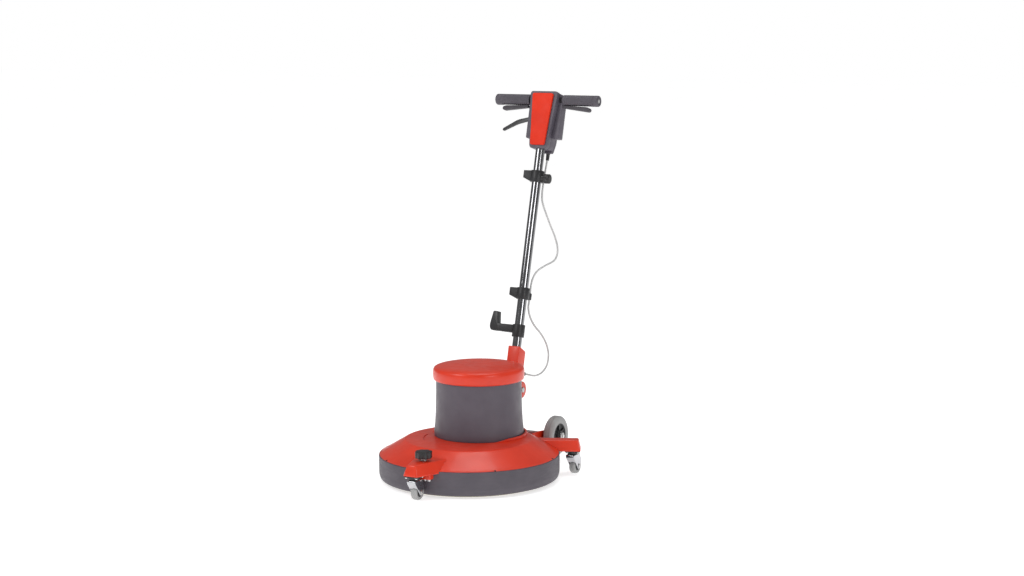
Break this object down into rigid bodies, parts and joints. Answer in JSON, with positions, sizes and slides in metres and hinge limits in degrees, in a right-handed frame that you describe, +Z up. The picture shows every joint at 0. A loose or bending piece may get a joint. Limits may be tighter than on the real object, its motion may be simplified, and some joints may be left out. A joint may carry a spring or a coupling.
{
  "type": "rotary floor machine",
  "caption": "Walk-behind single-disc floor polisher: round shrouded deck, drum motor tower, swivel castors, transport wheels and a tilting T-handle.",
  "frame": {"origin": "centre of the pad's floor face, on the spindle axis", "axes": "+Z up; -Y forwards, over the front castor; +Y back, where the operator stands; +X to the operator's left"},
  "size_m": [0.5689, 0.9077, 1.1789],
  "materials": {
    "red_paint": "gloss",
    "dark_plastic": "satin",
    "black_plastic": "satin",
    "bumper_rubber": "matte",
    "chrome": "polished",
    "steel": "satin",
    "aluminium": "satin",
    "cast_iron": "rough",
    "copper": "satin",
    "grey_tyre": "matte",
    "grey_cable": "satin",
    "belt_rubber": "matte",
    "pad_fibre": "matte",
    "grey_plastic": "satin"
  },
  "bodies": {
    "chassis": {"deck_housing": "red_paint", "bumper_ring": "bumper_rubber", "front_arm": "red_paint", "left_arm": "red_paint", "front_arm_bracket": "red_paint", "castor_front_plate": "black_plastic", "castor_left_plate": "black_plastic", "wheel_bracket_left": "red_paint", "wheel_bracket_right": "red_paint", "transport_axle": "steel", "motor_shroud": "dark_plastic", "motor_lid": "red_paint", "handle_bracket": "red_paint", "pivot_pin": "steel", "motor_case": "aluminium", "stator": "copper", "bearing_housing": "cast_iron", "spindle_bearing_lower": "steel", "spindle_bearing_upper": "steel", "motor_bearing_lower": "steel", "motor_bearing_upper": "steel", "drive_belt": "belt_rubber"},
    "height_knob": {"height_knob": "black_plastic"},
    "castor_front": {"castor_front_fork": "chrome"},
    "castor_front_wheel": {"castor_front_wheel": "grey_tyre"},
    "castor_left": {"castor_left_fork": "chrome"},
    "castor_left_wheel": {"castor_left_wheel": "grey_tyre"},
    "transport_wheel_left": {"transport_tyre_left": "grey_tyre", "transport_hub_left": "black_plastic"},
    "transport_wheel_right": {"transport_tyre_right": "grey_tyre", "transport_hub_right": "black_plastic"},
    "spindle": {"spindle_shaft": "steel", "spindle_pulley": "cast_iron", "pad_driver": "grey_plastic", "polishing_pad": "pad_fibre"},
    "motor": {"motor_rotor": "steel", "cooling_fan": "black_plastic", "motor_pulley": "aluminium"},
    "handle": {"stem_socket": "red_paint", "stem_tube": "chrome", "upper_clamp": "black_plastic", "middle_clamp": "black_plastic", "head_front_shell": "dark_plastic", "head_rear_shell": "dark_plastic", "head_cover": "red_paint", "switch_block": "black_plastic", "handlebar": "steel", "grip_left": "dark_plastic", "grip_right": "dark_plastic", "control_cable": "grey_cable"},
    "trigger_left": {"trigger_left": "dark_plastic"},
    "trigger_right": {"trigger_right": "dark_plastic"},
    "lock_rod": {"lock_rod": "steel"},
    "tilt_lever": {"tilt_lever": "black_plastic"},
    "clamp_knob": {"clamp_knob": "black_plastic"},
    "cable_hook": {"cable_hook": "black_plastic"}
  },
  "joints": [
    {"name": "height_knob_turn", "type": "hinge", "parent": "chassis", "child": "height_knob", "pos_m": [0, -0.273, 0.1115], "axis": [0, 0, 1], "range_deg": [0, 360]},
    {"name": "castor_front_swivel", "type": "hinge", "parent": "chassis", "child": "castor_front", "pos_m": [0, -0.327, 0.077], "axis": [0, 0, 1], "continuous": true},
    {"name": "castor_front_roll", "type": "hinge", "parent": "castor_front", "child": "castor_front_wheel", "pos_m": [0, -0.3105, 0.0245], "axis": [1, 0, 0], "continuous": true},
    {"name": "castor_left_swivel", "type": "hinge", "parent": "chassis", "child": "castor_left", "pos_m": [0.255, 0.205, 0.077], "axis": [0, 0, 1], "continuous": true},
    {"name": "castor_left_roll", "type": "hinge", "parent": "castor_left", "child": "castor_left_wheel", "pos_m": [0.255, 0.2215, 0.0245], "axis": [1, 0, 0], "continuous": true},
    {"name": "transport_wheel_left_roll", "type": "hinge", "parent": "chassis", "child": "transport_wheel_left", "pos_m": [0.133, 0.324, 0.0885], "axis": [1, 0, 0], "continuous": true},
    {"name": "transport_wheel_right_roll", "type": "hinge", "parent": "chassis", "child": "transport_wheel_right", "pos_m": [-0.133, 0.324, 0.0885], "axis": [1, 0, 0], "continuous": true},
    {"name": "spindle_spin", "type": "hinge", "parent": "chassis", "child": "spindle", "pos_m": [0, 0, 0.05], "axis": [0, 0, 1], "continuous": true},
    {"name": "motor_spin", "type": "hinge", "parent": "chassis", "child": "motor", "pos_m": [0, 0.104, 0.2], "axis": [0, 0, 1], "continuous": true},
    {"name": "handle_tilt", "type": "hinge", "parent": "chassis", "child": "handle", "pos_m": [0, 0.298, 0.232], "axis": [-1, 0, 0], "range_deg": [-15, 55]},
    {"name": "trigger_left_squeeze", "type": "hinge", "parent": "handle", "child": "trigger_left", "pos_m": [0.066, 0.52088, 1.12705], "axis": [0, -0.9659, 0.2588], "range_deg": [0, 5], "stiffness_Nm_per_rad": 0.8, "springref_deg": -8.59},
    {"name": "trigger_right_squeeze", "type": "hinge", "parent": "handle", "child": "trigger_right", "pos_m": [-0.066, 0.52088, 1.12705], "axis": [0, 0.9659, -0.2588], "range_deg": [0, 5], "stiffness_Nm_per_rad": 0.8, "springref_deg": -8.59},
    {"name": "lock_rod_lift", "type": "slide", "parent": "handle", "child": "lock_rod", "axis": [0, 0.2588, 0.9659], "range_m": [0, 0.004], "stiffness_N_per_m": 400, "springref_m": -0.01},
    {"name": "tilt_lever_squeeze", "type": "hinge", "parent": "handle", "child": "tilt_lever", "pos_m": [-0.05, 0.51387, 1.08545], "axis": [0, 0.9659, -0.2588], "range_deg": [0, 12]},
    {"name": "clamp_knob_turn", "type": "hinge", "parent": "handle", "child": "clamp_knob", "pos_m": [0, 0.45059, 0.89949], "axis": [1, 0, 0], "range_deg": [0, 360]},
    {"name": "cable_hook_turn", "type": "hinge", "parent": "handle", "child": "cable_hook", "pos_m": [0, 0.32169, 0.41846], "axis": [0, 0.2588, 0.9659], "range_deg": [0, 90]}
  ],
  "couplings": [
    {"joint": "motor_spin", "follows": "spindle_spin", "ratio": 1.7333},
    {"joint": "tilt_lever_squeeze", "follows": "lock_rod_lift", "rad_per_m": 52}
  ]
}
